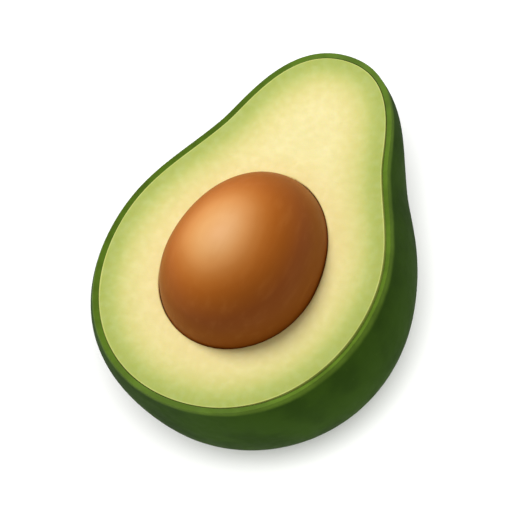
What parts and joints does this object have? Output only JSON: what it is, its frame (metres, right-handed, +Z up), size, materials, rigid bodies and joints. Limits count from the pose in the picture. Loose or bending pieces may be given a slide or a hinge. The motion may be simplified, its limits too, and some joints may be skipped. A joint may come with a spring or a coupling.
{
  "type": "avocado half",
  "caption": "Half of a smooth green avocado cut lengthways, its pit still in the hollow, lying on its back with the cut face up; fresh fruit for a kitchen, table or market scene.",
  "frame": {"origin": "bottom centre of the bounding box, on the surface that the half rests on", "axes": "+Y along the fruit from the blunt end to the neck, +Z up and square to the cut face, +X across the cut face"},
  "size_m": [0.0848, 0.1084, 0.0662],
  "materials": {
    "skin": "satin, smooth, dark green, with a bright green edge where it is cut",
    "flesh": "moist satin, pale yellow inside and green towards the peel",
    "pit": "smooth, semi-gloss, warm brown"
  },
  "bodies": {
    "root": {"skin": "skin", "flesh": "flesh", "pit": "pit"}
  },
  "joints": []
}
